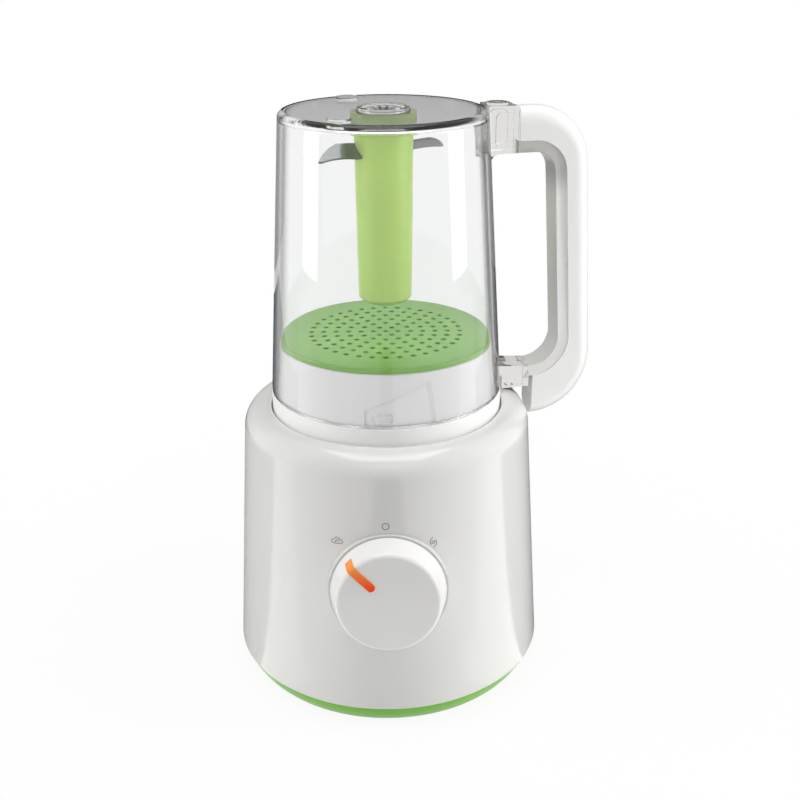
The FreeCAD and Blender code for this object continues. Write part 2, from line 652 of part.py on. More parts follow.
valve = turned("relief_valve", [
    ("0", "cap_top - cap_spigot - 3"),
    ("valve_head", "cap_top - cap_spigot - 3"),
    ("valve_head", "cap_top - cap_spigot - 1.6"),
    ("valve_stem", "cap_top - cap_spigot - 1.6"),
    ("valve_stem", "cap_top + 0.2"),
    ("valve_head", "cap_top + 0.2"),
    ("valve_head", "cap_top + 1.2"),
    ("valve_head - 0.8", "cap_top + 1.8"),
    ("0", "cap_top + 1.8"),
])
finish(place(valve, "0", "filler_back"))


def springSleeve(name, inner, wire, low, high):
    # plain envelope of a wound spring
    return turned(name, [
        (inner, low),
        ("(%s) + %s" % (inner, wire), low),
        ("(%s) + %s" % (inner, wire), high),
        (inner, high),
    ])


reliefSpring = springSleeve("relief_spring", "valve_stem + 0.3", "spring_wire",
                            "cap_top - cap_spigot - 1.4", "cap_top - 2.7")
finish(place(reliefSpring, "0", "filler_back"))

# Jar interlock: a sprung pin under the slot in the shoulder and a switch below it
interlockPin = turned("interlock_pin", [
    ("0", "pin_top - pin_long"),
    ("pin", "pin_top - pin_long"),
    ("pin", "pin_top - pin_long + 3"),
    ("pin + 1.3", "pin_top - pin_long + 3"),
    ("pin + 1.3", "pin_top - pin_long + 4.5"),
    ("pin", "pin_top - pin_long + 4.5"),
    ("pin", "pin_top - 0.8"),
    ("pin - 0.8", "pin_top"),
    ("0", "pin_top"),
])
finish(place(interlockPin, pinX, pinY))
pinSpring = springSleeve("interlock_spring", "pin + 0.3", "spring_wire",
                         "pin_top - pin_long - 2.8", "pin_top - pin_long + 2.8")
finish(place(pinSpring, pinX, pinY))
switchBox = block("interlock_switch", "pin_circle - 4.8", "pin_circle + 4.6", "switch_wide * 0.62",
                  "pin_top - pin_long - 20", "pin_top - pin_long - 3", "handle_turn")
switchBox.Label = "interlock_switch"
finish(switchBox)

# Dial with an orange pointer, its spindle and the rotary switch behind the boss
knobCore = turned("knob_core", [
    ("0", "knob_long"),
    ("0", "knob_long - spindle_deep"),
    ("knob_spindle", "knob_long - spindle_deep"),
    ("knob_spindle", "0.8"),
    ("knob_spindle + 3", "0.8"),
    ("knob_spindle + 3", "knob_long - knob_wall"),
    ("knob_face - knob_wall - 0.6", "knob_long - knob_wall"),
    ("knob_back - knob_wall", "0"),
    ("knob_back", "0"),
    ("knob_face + knob_edge / 4", "knob_long - knob_edge", "knob_edge"),
    ("knob_face - knob_edge * 0.83", "knob_long"),
])
place(knobCore, *knobFrame)
pointer = newBody("knob_pointer")
pointerSketch = outline(pointer, "pointer_outline", "XZ_Plane", [
    ("pointer_start", "knob_long - pointer_deep"),
    ("knob_face - 2.2", "knob_long - pointer_deep"),
    ("knob_face - 0.3", "knob_long - 2.6"),
    ("knob_face + 0.75", "knob_long - 7"),
    ("knob_face + 2", "knob_long - 7"),
    ("knob_face + 1.05", "knob_long - 2.3", "2.6"),
    ("knob_face - 1.8", "knob_long + pointer_high"),
    ("pointer_start", "knob_long + pointer_high"),
])
padded(pointer, "pointer_pad", pointerSketch, "pointer_wide", True)


def innerEnd(edge):
    # the two upright edges at the end nearest the knob's middle
    box = edge.BoundBox
    return box.XMax < number("pointer_start") + 1e-4 and box.YMax - box.YMin < 1e-4


rounded(pointer, "pointer_wide * 0.48", innerEnd, "pointer_nose")
pointerTurn = Rotation(Vector(1, 0, 0), number("90 - knob_tilt"))
pointerTurn = pointerTurn.multiply(Rotation(Vector(0, 0, 1), number("pointer_turn")))
pointer.Placement = Placement(Vector(), pointerTurn)
bind(pointer, "Placement.Base.y", "-knob_reach")
bind(pointer, "Placement.Base.z", "knob_level")
knob = trimmed("control_knob", knobCore, pointer)
finish(knob)
finish(pointer)
finish(onKnobAxis("knob_spindle_rod", "knob_spindle", "-boss_gap - switch_long + 3.4", "knob_long - spindle_deep"))
doc.getObject("knob_spindle_rod").Label = "knob_spindle_rod"
switchSum = fused("switch_sum", [
    onKnobAxis("switch_body", "switch_wide", "-boss_gap - shell - switch_long", "-boss_gap - shell"),
    onKnobAxis("switch_neck", "knob_spindle + 1.1", "-boss_gap - shell - 1", "-boss_gap - 0.2"),
])
switchBore = onKnobAxis("switch_bore", "knob_spindle + running", "-boss_gap - switch_long + 3.2", "0")
rotarySwitch = trimmed("rotary_switch", switchSum, switchBore)
finish(rotarySwitch)

# Clear jar, mouth down, with its collar, brackets and lugs
jarCore = turned("jar_cup", [
    ("jar_mouth - jar_wall", "jar_mouth_level"),
    ("jar_mouth", "jar_mouth_level"),
    ("jar_end", "disc_under", "jar_round"),
    ("jar_end - jar_round", "jar_top"),
    ("collar", "jar_top"),
    ("collar", "jar_top + collar_tall"),
    ("collar - collar_wall", "jar_top + collar_tall"),
    ("collar - collar_wall", "pocket_level"),
    ("bush", "pocket_level"),
    ("bush", "boss_end"),
    ("bush_boss", "boss_end"),
    ("bush_boss", "pocket_under"),
    ("collar", "pocket_under"),
    ("collar", "disc_under"),
    ("jar_end - jar_wall - 2", "disc_under", "-2"),
    ("jar_end - jar_wall + 2 * jar_slope", "disc_under - 2"),
])
place(jarCore, axis=(0, 0, 1), turn="handle_turn")


def slab(name, points, wide):
    body = newBody(name)
    padded(body, name + "_pad", outline(body, name + "_outline", "XZ_Plane", points), wide, True)
    return body


topBracket = slab("top_bracket", [
    ("jar_end - 0.4", "arm_under - web_round"),
    ("jar_end + 0.8", "arm_under - web_round", "-web_round"),
    ("jar_end + 0.8 + web_round", "arm_under"),
    ("arm_start", "arm_under"),
    ("arm_start", "jar_top - bracket_round", "bracket_round"),
    ("arm_start - bracket_round", "jar_top"),
    ("jar_end - 0.4", "jar_top"),
], "grip_wide")
place(topBracket, axis=(0, 0, 1), turn="handle_turn")
panelNear = "(jar_end + panel_round)"
panelFar = "(arm_start - panel_round)"
panelLow = "(arm_under + panel_round)"
panelHigh = "(jar_top - panel_round)"
bracketPanel = slab("bracket_panel", [
    (panelNear, panelLow + " + panel_round", "panel_round"),
    (panelNear + " + panel_round", panelLow),
    (panelFar + " - panel_round", panelLow, "panel_round"),
    (panelFar, panelLow + " + panel_round"),
    (panelFar, panelHigh + " - panel_round", "panel_round"),
    (panelFar + " - panel_round", panelHigh),
    (panelNear + " + panel_round", panelHigh, "panel_round"),
    (panelNear, panelHigh + " - panel_round"),
], "grip_wide + 2 * panel_high")
place(bracketPanel, axis=(0, 0, 1), turn="handle_turn")
lowBracket = slab("low_bracket", [
    ("jar_mouth - 1.3", "jar_mouth_level + 1"),
    ("lid_wide + 1.2", "jar_mouth_level + 1"),
    ("lid_wide + 1.2", "rim + 2.6"),
    ("cover_end - 2.2", "rim + 2.6"),
    ("cover_end - 2.2", "arm_low_top"),
    ("jar_mouth - 1.3", "arm_low_top + 1.6"),
], "grip_wide")
place(lowBracket, axis=(0, 0, 1), turn="handle_turn")
jarAdds = [jarCore, topBracket, bracketPanel, lowBracket]
jarAdds.append(block("interlock_rib", "pin_circle - 2", "pin_circle + 2.4", "6",
                     "pin_top + 0.5", "rim + 4", "handle_turn"))
for k, (radius, turn) in enumerate((("jar_end - stand_set", "handle_turn + stand_turn"),
                                    ("jar_end - stand_set", "handle_turn + stand_turn + stand_apart"),
                                    ("jar_end + 6", "handle_turn")), start=1):
    x, y = polar(radius, turn)
    jarAdds.append(column("stand_%d" % k, "stand", "jar_top - 0.6", "jar_top + stand_tall", x, y))
lugTurns = [-92, 28, 148]
for k, turn in enumerate(lugTurns, start=1):
    jarAdds.append(block("lug_%d" % k, "skirt_low - groove_deep + 0.15", "jar_mouth - 1.2", "lug_wide",
                         "lug_level", "lug_level + lug_tall", turn))
finish(fused("jar", jarAdds))
finish(turned("jar_bush", [
    ("shaft + running", "boss_end"), ("bush", "boss_end"), ("bush", "pocket_level"), ("shaft + running", "pocket_level"),
]))
finish(turned("jar_seal", [
    ("shaft + 0.1", "boss_end - 1.6"),
    ("bush + 1", "boss_end - 1.6"),
    ("bush_boss - 1", "boss_end - 0.6"),
    ("bush_boss - 1", "boss_end"),
    ("shaft + 0.1", "boss_end"),
]))


def cornerTop(face, level, radius):
    # where a rounded corner leaves the level line and joins the slanted grip line, top side
    reach = "(%s) * (slant - jar_slope)" % radius
    r = "(%s) + jar_slope * (grip_mid_level - (%s))" % (face, level)
    first = ("(%s) - (%s)" % (r, reach), level)
    last = ("(%s) + (%s) * jar_slope / slant" % (r, reach), "(%s) - (%s) / slant" % (level, reach))
    return first, last


def cornerLow(face, level, radius):
    reach = "(%s) * (slant + jar_slope)" % radius
    r = "(%s) + jar_slope * (grip_mid_level - (%s))" % (face, level)
    first = ("(%s) - (%s) * jar_slope / slant" % (r, reach), "(%s) + (%s) / slant" % (level, reach))
    last = ("(%s) - (%s)" % (r, reach), level)
    return first, last


# Handle: clear liner along the finger side and a white cover round the outside
midFace = "(grip_gap_face + liner_thick)"
outFace = "(grip_gap_face + liner_thick + cover_thick)"
topLevel = "(arm_under + liner_thick)"
lowLevel = "(arm_low_top - liner_thick)"
gapTop = cornerTop("grip_gap_face", "arm_under", "corner_top")
gapLow = cornerLow("grip_gap_face", "arm_low_top", "corner_low")
midTop = cornerTop(midFace, topLevel, "(corner_top + liner_thick)")
midLow = cornerLow(midFace, lowLevel, "(corner_low + liner_thick)")
outTop = cornerTop(outFace, "arm_top", "cover_corner")
outLow = cornerLow(outFace, "cover_low", "cover_low_corner")
liner = slab("handle_liner", [
    ("arm_start", "arm_under"),
    (gapTop[0][0], gapTop[0][1], "-corner_top"),
    gapTop[1],
    (gapLow[0][0], gapLow[0][1], "-corner_low"),
    gapLow[1],
    ("cover_end - 2.2", "arm_low_top"),
    ("cover_end - 2.2", lowLevel),
    (midLow[1][0], midLow[1][1], "(corner_low + liner_thick)"),
    midLow[0],
    (midTop[1][0], midTop[1][1], "(corner_top + liner_thick)"),
    midTop[0],
    ("arm_start", topLevel),
], "grip_wide - 1")
place(liner, axis=(0, 0, 1), turn="handle_turn")
finish(liner)
cover = slab("handle_cover", [
    ("arm_start + 0.1", topLevel),
    (midTop[0][0], midTop[0][1], "-(corner_top + liner_thick)"),
    midTop[1],
    (midLow[0][0], midLow[0][1], "-(corner_low + liner_thick)"),
    midLow[1],
    ("cover_end", lowLevel),
    ("cover_end", "cover_low"),
    (outLow[1][0], outLow[1][1], "cover_low_corner"),
    outLow[0],
    (outTop[1][0], outTop[1][1], "cover_corner"),
    outTop[0],
    ("arm_start + 0.1", "arm_top"),
], "grip_wide")


def outsideEdge(edge):
    # long edges of the cover's outer contour on both flanks
    box = edge.BoundBox
    if box.YMax - box.YMin > 1e-6:
        return False
    middle = edge.valueAt((edge.FirstParameter + edge.LastParameter) / 2)
    face = number(outFace) + number("jar_slope") * (number("grip_mid_level") - middle.z)
    upper = abs(middle.z - number("arm_top")) < 1e-3 and box.ZMax - box.ZMin < 1e-3
    lower = abs(middle.z - number("cover_low")) < 1e-3 and box.ZMax - box.ZMin < 1e-3
    straight = abs(middle.x - face) < 0.05
    bend = edge.Curve.TypeId == "Part::GeomCircle" and edge.Curve.Radius > number("cover_corner") - 0.01
    return upper or lower or straight or bend


rounded(cover, "grip_wide * 0.49", outsideEdge, "cover_round")
place(cover, axis=(0, 0, 1), turn="handle_turn")
finish(cover)

# Blade unit on the jar's spindle
hubCore = turned("hub_core", [
    ("collar + 0.8", "hub_top"),
    ("hub_top_wide", "hub_top"),
    ("hub_top_wide", "hub_top - 4.5"),
    ("hub_wide", "hub_top - 7.5"),
    ("hub_end_wide", "hub_end"),
    ("hub_end_wide - hub_wall", "hub_end"),
    ("hub_wide - hub_wall - 0.2", "blade_level - blade_root - 4"),
    ("0", "blade_level - blade_root - 4"),
    ("0", "blade_level - blade_root"),
    ("shaft", "blade_level - blade_root"),
    ("shaft", "cup_floor"),
    ("bush_boss + 0.8", "cup_floor"),
    ("bush_boss + 0.8", "pocket_under - 0.8"),
    ("collar + 0.8", "pocket_under - 0.8"),
])
bladeRows = []
for k, turn in enumerate(("blade_turn", "blade_turn + 180"), start=1):
    blade = newBody("blade_%d" % k)
    bladeSketch = outline(blade, "blade_%d_outline" % k, "XY_Plane", [
        ("hub_wide - 4.5", "-4.6"),
        ("hub_wide + 3", "-5.6"),
        ("hub_wide + 9", "-6", "30"),
        ("blade_reach", "4"),
        ("blade_reach - 1.5", "4.6", "-34"),
        ("hub_wide + 3", "4.4"),
        ("hub_wide - 4.5", "4.6"),
    ], "blade_level")
    bladeSketch.AttachmentOffset = Placement(Vector(), Rotation(Vector(-1, 0, 0), 10))
    bind(bladeSketch, "AttachmentOffset.Rotation.Angle", "blade_tilt")
    bind(bladeSketch, "AttachmentOffset.Base.z", "blade_level")
    padded(blade, "blade_%d_pad" % k, bladeSketch, "blade_thick", True)
    place(blade, axis=(0, 0, 1), turn=turn)
    bladeRows.append(blade)
blades = grouped("blades", bladeRows)
finish(trimmed("blade_hub", hubCore, blades))
finish(blades)
finish(turned("hub_cap", [
    ("0", "hub_end - 4.4"),
    ("4", "hub_end - 4.4", "16"),
    ("hub_end_wide", "hub_end - 0.1"),
    ("hub_end_wide - hub_wall - 0.1", "hub_end - 0.1"),
    ("hub_end_wide - hub_wall - 0.1", "hub_end + 6"),
    ("0", "hub_end + 6"),
]))
finish(turned("blade_spindle", [
    ("0", "blade_level - blade_root"), ("shaft", "blade_level - blade_root"),
    ("shaft", "coupling_floor + 1.5"), ("0", "coupling_floor + 1.5"),
]))
driven = turned("driven_coupling", [
    ("shaft", "pocket_level + 0.4"),
    ("collar - collar_wall - 0.5", "pocket_level + 0.4"),
    ("collar - collar_wall - 0.5", "jar_top + collar_tall - 0.8"),
    ("collar - 2 * collar_wall", "jar_top + collar_tall - 0.8"),
    ("collar - 2 * collar_wall", "coupling_floor"),
    ("5", "coupling_floor"),
    ("5", "coupling_floor + 1.5"),
    ("shaft", "coupling_floor + 1.5"),
])
toothSketch = outline(driven, "tooth_outline", "XY_Plane", [
    ("6", "-0.9"), ("collar - 3", "-1.3"), ("collar - 3", "1.3"), ("6", "0.9"),
], "coupling_floor - 0.5")
tooth = padded(driven, "tooth", toothSketch, "tooth_tall")
around(driven, tooth, "12")
finish(driven)

# White lid that closes the jar's mouth, with bayonet grooves, a steam inlet and a chimney
lidCore = turned("lid_core", [
    ("lid_wide", "lid_bottom"),
    ("lid_wide", "lid_seat - 0.6", "0.6"),
    ("lid_wide - 0.6", "lid_seat"),
    ("lid_wide - 0.9", "lid_seat"),
    ("lid_wide - 0.9", "lid_seat - 1.4"),
    ("skirt_low + 0.9", "lid_seat - 1.4"),
    ("skirt_low + 0.9", "lid_seat"),
    ("skirt_low", "lid_seat"),
    ("skirt_high", "skirt_top - 0.8", "0.8"),
    ("skirt_high - 0.8", "skirt_top"),
    ("skirt_high - lid_wall", "skirt_top"),
    ("skirt_low - lid_wall", "lid_floor + lid_wall"),
    ("0", "lid_floor + lid_wall"),
    ("0", "lid_floor"),
    ("lid_wide - lid_wall", "lid_floor"),
    ("lid_wide - lid_wall", "lid_bottom"),
])
chimney = column("chimney_outer", "chimney", "lid_floor + 0.5", "lid_floor + chimney_tall", "0", "filler_back")
inlet = column("chimney_inner", "chimney - 2", "lid_floor - 1", "lid_floor + chimney_tall + 1", "0", "filler_back")
grooveCuts = [inlet]
grooveCone = doc.addObject("Part::Cone", "groove_cone")
bind(grooveCone, "Radius1", "skirt_low - groove_deep + skirt_tall * jar_slope")
bind(grooveCone, "Radius2", "skirt_low - groove_deep - 2 * skirt_tall * jar_slope")
bind(grooveCone, "Height", "3 * skirt_tall")
place(grooveCone, "0", "0", "jar_mouth_level - skirt_tall")
for k in range(3):
    prism = newBody("groove_prism_%d" % (k + 1))
    prismSketch = outline(prism, "groove_outline_%d" % (k + 1), "XZ_Plane", [
        ("-lug_wide - 1.4", "lid_seat + 0.4"),
        ("3 * lug_wide + 2", "lid_seat + 0.4"),
        ("3 * lug_wide + 2", "skirt_top + 1"),
        ("2 * lug_wide + 3", "skirt_top + 1"),
        ("2 * lug_wide + 3", "lid_seat + 5 * lug_tall"),
        ("-lug_wide - 1.4", "lug_level + lug_tall + 1.6"),
    ], "lid_wide - lug_wide")
    padded(prism, "groove_pad_%d" % (k + 1), prismSketch, "lug_wide + 5")
    place(prism, axis=(0, 0, 1), turn=str(120 * k))
    grooveCuts.append(trimmed("groove_%d" % (k + 1), prism, grooveCone))
finish(trimmed("lid", fused("lid_sum", [lidCore, chimney]), fused("lid_cuts", grooveCuts)))
finish(turned("lid_gasket", [
    ("skirt_low + 1.05", "lid_seat - 1.4"),
    ("lid_wide - 1.05", "lid_seat - 1.4"),
    ("lid_wide - 1.05", "lid_seat"),
    ("lid_wide - 1.4", "lid_seat + 0.2"),
    ("skirt_low + 1.4", "lid_seat + 0.2"),
    ("skirt_low + 1.05", "lid_seat"),
]))

# Strainer that lies on the lid's upper edge, with rings of holes
strainer = turned("strainer", [
    ("0", "skirt_top + 0.2"),
    ("skirt_high - lid_wall - 2.4", "skirt_top + 0.2"),
    ("skirt_high - lid_wall - 2.0", "skirt_top - strainer_skirt"),
    ("skirt_high - lid_wall - 0.4", "skirt_top - strainer_skirt"),
    ("skirt_high - lid_wall - 0.4", "skirt_top + 0.2"),
    ("skirt_high - 0.8", "skirt_top + 0.2"),
    ("skirt_high - 0.8", "skirt_top + strainer_thick - 0.6", "0.8"),
    ("skirt_high - 1.6", "skirt_top + 0.2 + strainer_thick"),
    ("0", "skirt_top + 0.2 + strainer_thick"),
])
middleHole = ringSketch(strainer, "middle_hole", "XY_Plane", [("0", "0", "hole")], "skirt_top + 1.5")
pocketed(strainer, "middle_hole_cut", middleHole, "strainer_thick * 3")
for ring in range(1, 7):
    ringHole = ringSketch(strainer, "hole_%d" % ring, "XY_Plane",
                          [("hole_pitch * %d" % ring, "0", "hole")], "skirt_top + 1.5")
    around(strainer, pocketed(strainer, "hole_%d_cut" % ring, ringHole, "strainer_thick * 3"), str(6 * ring))
finish(strainer)

doc.recompute()
os.makedirs("parts", exist_ok=True)
for thing in doc.Objects:
    if "Invalid" in thing.State or "Error" in thing.State:
        raise RuntimeError("%s failed" % thing.Label)
for piece in pieces:
    if piece.Shape.isNull() or not piece.Shape.isValid():
        raise RuntimeError("%s has no valid shape" % piece.Label)
    if piece.Shape.Volume < 0.5:
        raise RuntimeError("%s is empty" % piece.Label)
    piece.Shape.exportStep("parts/%s.step" % piece.Label)
    print(piece.Label, len(piece.Shape.Solids), round(piece.Shape.Volume, 1))
print(len(pieces), "pieces")
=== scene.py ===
import math
import bmesh
import bpy
from mathutils import Matrix, Vector


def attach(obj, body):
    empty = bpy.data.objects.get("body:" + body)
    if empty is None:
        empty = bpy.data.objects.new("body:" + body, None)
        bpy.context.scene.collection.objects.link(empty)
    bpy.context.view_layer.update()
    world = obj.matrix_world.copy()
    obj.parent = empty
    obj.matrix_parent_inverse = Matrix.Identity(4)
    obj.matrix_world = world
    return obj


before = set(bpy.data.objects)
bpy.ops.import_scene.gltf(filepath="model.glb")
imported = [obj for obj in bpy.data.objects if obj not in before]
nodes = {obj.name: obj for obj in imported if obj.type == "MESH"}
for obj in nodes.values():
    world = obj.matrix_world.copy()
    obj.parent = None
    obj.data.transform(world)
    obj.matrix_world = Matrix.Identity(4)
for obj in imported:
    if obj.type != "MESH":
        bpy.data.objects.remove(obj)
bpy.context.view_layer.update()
scene = bpy.context.scene
print("frame loaded:", len(nodes), "nodes")


class Field:
    # a socket of one node tree, with arithmetic
    def __init__(self, finish, socket):
        self.finish = finish
        self.socket = socket

    def calc(self, operation, first, second):
        return self.finish.node("ShaderNodeMath", {"operation": operation}, {0: first, 1: second})

    def __add__(self, other):
        return self.calc("ADD", self, other)

    def __radd__(self, other):
        return self.calc("ADD", other, self)

    def __sub__(self, other):
        return self.calc("SUBTRACT", self, other)

    def __rsub__(self, other):
        return self.calc("SUBTRACT", other, self)

    def __mul__(self, other):
        return self.calc("MULTIPLY", self, other)

    def __rmul__(self, other):
        return self.calc("MULTIPLY", other, self)

    def __abs__(self):
        return self.calc("ABSOLUTE", self, 0.0)

    def most(self, other):
        return self.calc("MAXIMUM", self, other)

    def around(self, amount):
        return (self - 0.5) * amount  # noise about its middle


class Finish:
    # the node tree of a material or of the world
    def __init__(self, owner):
        self.owner = owner
        owner.use_nodes = True
        self.tree = owner.node_tree
        self.tree.nodes.clear()

    def node(self, kind, settings=None, sockets=None, out=0):
        made = self.tree.nodes.new(kind)
        for key, value in (settings or {}).items():
            setattr(made, key, value)
        for key, value in (sockets or {}).items():
            if isinstance(value, Field):
                self.tree.links.new(value.socket, made.inputs[key])
            else:
                made.inputs[key].default_value = value
        return Field(self, made.outputs[out]) if len(made.outputs) else None

    def spots(self):
        return self.node("ShaderNodeTexCoord", out="Object")

    def noise(self, scale, detail):
        return self.node("ShaderNodeTexNoise", {}, {"Vector": self.spots(), "Scale": scale, "Detail": detail})

    def tint(self, mask, dark, light):
        return self.blend(mask, (*dark, 1), (*light, 1))

    def blend(self, mask, first, second):
        sockets = {"Factor": mask, 6: first, 7: second}  # 6 and 7 are the colours
        return self.node("ShaderNodeMix", {"data_type": "RGBA"}, sockets, out=2)

    def softEdge(self, radius):
        return self.node("ShaderNodeBevel", {"samples": 4}, {"Radius": radius})

    def bump(self, height, strength, distance, normal=None):
        sockets = {"Height": height, "Strength": strength, "Distance": distance}
        if normal is not None:
            sockets["Normal"] = normal
        return self.node("ShaderNodeBump", {}, sockets)

    def ramp(self, value, low, high):
        return self.node("ShaderNodeMapRange", {"interpolation_type": "SMOOTHSTEP"},
                         {"Value": value, "From Min": low, "From Max": high})

    def part(self, vector, axis):
        return self.node("ShaderNodeSeparateXYZ", {}, {"Vector": vector}, out=axis)

    def length(self, vector):
        return self.node("ShaderNodeVectorMath", {"operation": "LENGTH"}, {0: vector}, out="Value")

    def emission(self, strength):
        return self.node("ShaderNodeEmission", {}, {"Color": (1, 1, 1, 1), "Strength": strength})

    def plastic(self, sockets):
        return self.node("ShaderNodeBsdfPrincipled", {}, sockets)

    def close(self, shader, kind="ShaderNodeOutputMaterial"):
        self.node(kind, {}, {"Surface": shader})
        return self.owner


def newFinish(name):
    return Finish(bpy.data.materials.new(name))


# moulded plastics: a faint cloud and grain, with painted shade darkening their creases
mouldedLook = {
    "whiteShell": {
        "dark": (0.802, 0.796, 0.773), "light": (0.818, 0.812, 0.789),
        "rough": 0.16, "coat": 0.5, "paintedCreaseShade": 0.3, "glow": 0.0,
    },
    "whiteCover": {
        "dark": (0.948, 0.945, 0.928), "light": (0.96, 0.957, 0.94),
        "rough": 0.24, "coat": 0.3, "paintedCreaseShade": 0.25, "glow": 0.0,
    },
    "whiteKnob": {
        "dark": (0.9, 0.893, 0.88), "light": (0.912, 0.905, 0.892),
        "rough": 0.24, "coat": 0.3, "paintedCreaseShade": 0.25, "glow": 0.0,
    },
    # painted light: the lid glows faintly and is whiter than the shell, making up for the shade the jar casts
    # on it
    "whiteLid": {
        "dark": (0.955, 0.953, 0.94), "light": (0.965, 0.963, 0.95),
        "rough": 0.3, "coat": 0.1, "paintedCreaseShade": 0.5, "glow": 0.05,
    },
    "greenPan": {
        "dark": (0.17, 0.51, 0.01), "light": (0.19, 0.56, 0.014),
        "rough": 0.34, "coat": 0.1, "paintedCreaseShade": 0.0, "glow": 0.0,
    },
    "greenStrainer": {
        "dark": (0.2, 0.5, 0.045), "light": (0.235, 0.56, 0.06),
        "rough": 0.36, "coat": 0.1, "paintedCreaseShade": 0.5, "glow": 0.0,
    },
    "greyMoulding": {
        "dark": (0.55, 0.55, 0.55), "light": (0.62, 0.62, 0.62),
        "rough": 0.4, "coat": 0.0, "paintedCreaseShade": 0.5, "glow": 0.0,
    },
    "blackMoulding": {
        "dark": (0.018, 0.018, 0.019), "light": (0.03, 0.03, 0.031),
        "rough": 0.45, "coat": 0.0, "paintedCreaseShade": 0.0, "glow": 0.0,
    },
    "greyPrint": {
        "dark": (0.28, 0.28, 0.28), "light": (0.33, 0.33, 0.33),
        "rough": 0.5, "coat": 0.0, "paintedCreaseShade": 0.0, "glow": 0.0,
    },
}
mouldSkin = {
    "cloudScale": 18.0, "cloudDetail": 4.0, "cloudRough": 0.03,
    "grainScale": 2600.0, "grainDetail": 2.0, "grainRough": 0.04,
    "relief": 0.12, "reliefDepth": 0.00002, "edge": 0.0004, "coatRough": 0.1, "index": 1.47,
    "creaseReach": 0.003, "creaseSamples": 6, "creaseFrom": 0.06, "creaseTo": 0.7, "paintedCreaseDarkness": 0.35,
}


def mouldedPlastic(name):
    look = mouldedLook[name]
    finish = newFinish(name)
    cloud = finish.noise(mouldSkin["cloudScale"], mouldSkin["cloudDetail"])
    grain = finish.noise(mouldSkin["grainScale"], mouldSkin["grainDetail"])
    colour = finish.tint(cloud, look["dark"], look["light"])
    # painted shade: ambient occlusion darkens the colour in creases and in seams between parts
    if look["paintedCreaseShade"]:
        shelter = finish.node("ShaderNodeAmbientOcclusion",
                              {"samples": mouldSkin["creaseSamples"], "only_local": True},
                              {"Distance": mouldSkin["creaseReach"]}, out="AO")
        paintedCreaseMask = finish.ramp(1 - shelter, mouldSkin["creaseFrom"], mouldSkin["creaseTo"]) * look["paintedCreaseShade"]
        paintedShade = [level * mouldSkin["paintedCreaseDarkness"] for level in look["dark"]]
        colour = finish.blend(paintedCreaseMask, colour, (*paintedShade, 1))
    rough = look["rough"] + cloud.around(mouldSkin["cloudRough"]) + grain.around(mouldSkin["grainRough"])
    softened = finish.softEdge(mouldSkin["edge"])
    relief = finish.bump(grain, mouldSkin["relief"], mouldSkin["reliefDepth"], softened)
    return finish.close(finish.plastic({
        "Base Color": colour, "Roughness": rough, "Normal": relief, "IOR": mouldSkin["index"],
        "Coat Weight": look["coat"], "Coat Roughness": mouldSkin["coatRough"],
        # glow is painted light: the part gives off light though it is no lamp
        "Emission Color": (*look["light"], 1), "Emission Strength": look["glow"],
    }))


limeLook = {
    "dark": (0.44, 0.68, 0.13), "light": (0.52, 0.74, 0.17), "rough": 0.3, "index": 1.46,
    "cloudScale": 30.0, "cloudDetail": 3.0, "cloudRough": 0.1,
    "scatter": 0.35, "scatterReach": (0.004, 0.006, 0.001), "scatterScale": 1.0,
}


def limePlastic():
    finish = newFinish("limeColumn")
    cloud = finish.noise(limeLook["cloudScale"], limeLook["cloudDetail"])
    return finish.close(finish.plastic({
        "Base Color": finish.tint(cloud, limeLook["dark"], limeLook["light"]),
        "Roughness": limeLook["rough"] + cloud.around(limeLook["cloudRough"]), "IOR": limeLook["index"],
        "Subsurface Weight": limeLook["scatter"], "Subsurface Radius": limeLook["scatterReach"],
        "Subsurface Scale": limeLook["scatterScale"],
    }))


# the jar's colour is darkened where its wall is seen at a slant, a painted shade that draws its outline, and
# its handle blocks are tinted
clearLook = {
    "wall": (0.948, 0.95, 0.953), "edge": (0.05, 0.053, 0.06), "block": (0.74, 0.725, 0.71),
    "rough": 0.012, "hazeScale": 40.0, "hazeDetail": 3.0, "hazeRough": 0.02,
    "index": 1.47, "softEdge": 0.0005, "slant": 0.5, "edgeFrom": 0.57, "edgeTo": 0.8, "flatShare": 0.74,
    "taper": 0.0635, "blockFrom": 0.0705, "blockTo": 0.0712,
}


def clearPlastic():
    finish = newFinish("clearJar")
    haze = finish.noise(clearLook["hazeScale"], clearLook["hazeDetail"])
    slanted = finish.node("ShaderNodeLayerWeight", {}, {"Blend": clearLook["slant"]}, out="Facing")
    flat = abs(finish.part(finish.node("ShaderNodeNewGeometry", out="Normal"), "Z"))
    # painted shade: a dark outline where the wall turns away
    steep = finish.ramp(slanted, clearLook["edgeFrom"], clearLook["edgeTo"])
    paintedEdgeShade = steep * (1 - flat * clearLook["flatShare"])  # weaker on the flat disc
    level = finish.node("ShaderNodeVectorMath", {"operation": "MULTIPLY"}, {0: finish.spots(), 1: (1, 1, 0)})
    reach = finish.length(level) + finish.part(finish.spots(), "Z") * clearLook["taper"]
    outside = finish.ramp(reach, clearLook["blockFrom"], clearLook["blockTo"])
    body = finish.tint(outside, clearLook["wall"], clearLook["block"])
    return finish.close(finish.plastic({
        "Base Color": finish.blend(paintedEdgeShade, body, (*clearLook["edge"], 1)),
        "Roughness": clearLook["rough"] + haze * clearLook["hazeRough"], "IOR": clearLook["index"],
        "Transmission Weight": 1.0, "Normal": finish.softEdge(clearLook["softEdge"]),
    }))


# painted shade: the liner's top is darker, where the grip shades it; painted light: the liner glows faintly
linerLook = {
    "dark": (0.93, 0.92, 0.9), "light": (0.97, 0.96, 0.94), "paintedShade": (0.55, 0.535, 0.515),
    "paintedShadeFrom": 0.252, "paintedShadeTo": 0.268, "cloudScale": 60.0, "cloudDetail": 3.0, "cloudRough": 0.1,
    "rough": 0.34, "through": 0.6, "glow": 0.045, "index": 1.47, "softEdge": 0.0006,
}


